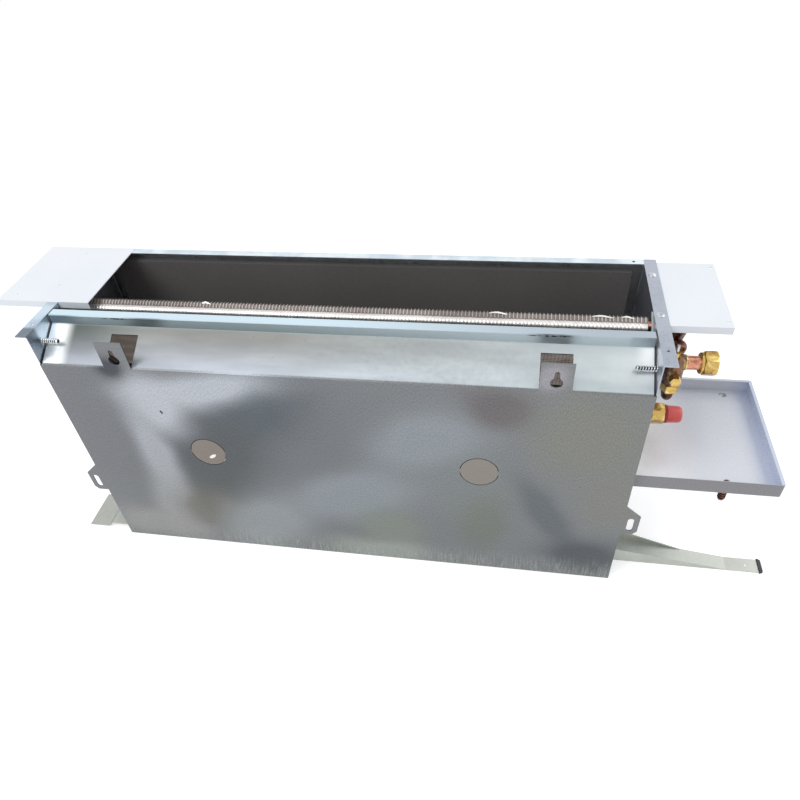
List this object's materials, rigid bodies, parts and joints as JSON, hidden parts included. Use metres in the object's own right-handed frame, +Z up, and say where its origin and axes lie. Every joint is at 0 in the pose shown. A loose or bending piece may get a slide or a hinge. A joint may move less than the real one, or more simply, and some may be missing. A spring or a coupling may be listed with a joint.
{
  "type": "fan coil unit",
  "caption": "Concealed wall fan coil chassis: galvanised casing, slanted finned coil over twin blowers on one motor, brass and copper pipework, drip tray, filter.",
  "frame": {"origin": "on the wall face of the back panel, midway along its bottom edge, at floor level", "axes": "+X along the unit towards the pipe end, +Y from the wall towards the room, +Z up"},
  "size_m": [1.0428, 0.224, 0.387],
  "materials": {
    "galvanised": "spangled zinc, cloudy reflections",
    "white_paint": "smooth powder coat",
    "fin_aluminium": "bright thin foil",
    "copper": "drawn, slightly darkened",
    "brass": "machined",
    "zinc_screw": "zinc plated",
    "dark_foam": "closed-cell foam sheet",
    "pan_foam": "expanded foam block",
    "motor_paint": "dark enamel",
    "shaft_steel": "ground",
    "black_rubber": "moulded",
    "black_plastic": "moulded",
    "grey_plastic": "moulded",
    "red_plastic": "moulded, semi-gloss",
    "filter_cloth": "fine woven net"
  },
  "bodies": {
    "chassis": {"air_vent": "brass", "arm_end_cap": "black_plastic", "arm_screws": "zinc_screw", "back_panel": "galvanised", "cable_gland": "black_plastic", "coil_end_sheet_left": "galvanised", "coil_end_sheet_right": "galvanised", "coil_fins": "fin_aluminium", "coil_tubes": "copper", "corner_cover_left": "white_paint", "corner_cover_right": "white_paint", "drain_pan": "galvanised", "drain_pan_insulation": "pan_foam", "drain_spigot": "brass", "drain_spout": "copper", "drip_tray": "white_paint", "end_plate_left": "galvanised", "end_plate_right": "galvanised", "fan_deck": "galvanised", "fan_motor": "motor_paint", "filter_rails": "galvanised", "flange_screws": "zinc_screw", "front_insulation": "dark_foam", "front_panel": "galvanised", "gland_nut": "brass", "inlet_rings_left": "galvanised", "inlet_rings_right": "galvanised", "lower_union": "brass", "motor_bracket": "galvanised", "motor_clamps": "galvanised", "motor_rubber_rings": "black_rubber", "return_header": "copper", "return_riser": "copper", "scroll_housing_left": "galvanised", "scroll_housing_right": "galvanised", "supply_header": "copper", "supply_pipe": "copper", "support_arm_left": "galvanised", "support_arm_right": "galvanised", "terminal_block": "grey_plastic", "terminal_box": "white_paint", "terminal_box_cover": "white_paint", "thread_screws": "zinc_screw", "tray_screws": "zinc_screw", "upper_pipe": "copper", "valve_body": "brass", "valve_bonnet": "brass"},
    "fan_rotor": {"fan_shaft": "shaft_steel", "impeller_left": "galvanised", "impeller_right": "galvanised"},
    "filter": {"filter_frame": "grey_plastic", "filter_mesh": "filter_cloth"},
    "union_nut": {"upper_union_nut": "brass"},
    "cap": {"protective_cap": "red_plastic"},
    "vent_key": {"vent_screw": "zinc_screw"}
  },
  "joints": [
    {"name": "fan_spin", "type": "hinge", "parent": "chassis", "child": "fan_rotor", "pos_m": [0, 0.114, 0.104], "axis": [1, 0, 0], "continuous": true},
    {"name": "filter_slide", "type": "slide", "parent": "chassis", "child": "filter", "axis": [0, 1, 0], "range_m": [0, 0.2]},
    {"name": "union_nut_turn", "type": "hinge", "parent": "chassis", "child": "union_nut", "pos_m": [0.43, 0.062, 0.345], "axis": [1, 0, 0], "continuous": true},
    {"name": "cap_pull", "type": "slide", "parent": "chassis", "child": "cap", "axis": [1, 0, 0], "range_m": [0, 0.03]},
    {"name": "vent_turn", "type": "hinge", "parent": "chassis", "child": "vent_key", "pos_m": [0.3967, 0.062, 0.36], "axis": [0, 0, 1], "range_deg": [0, 360]}
  ]
}
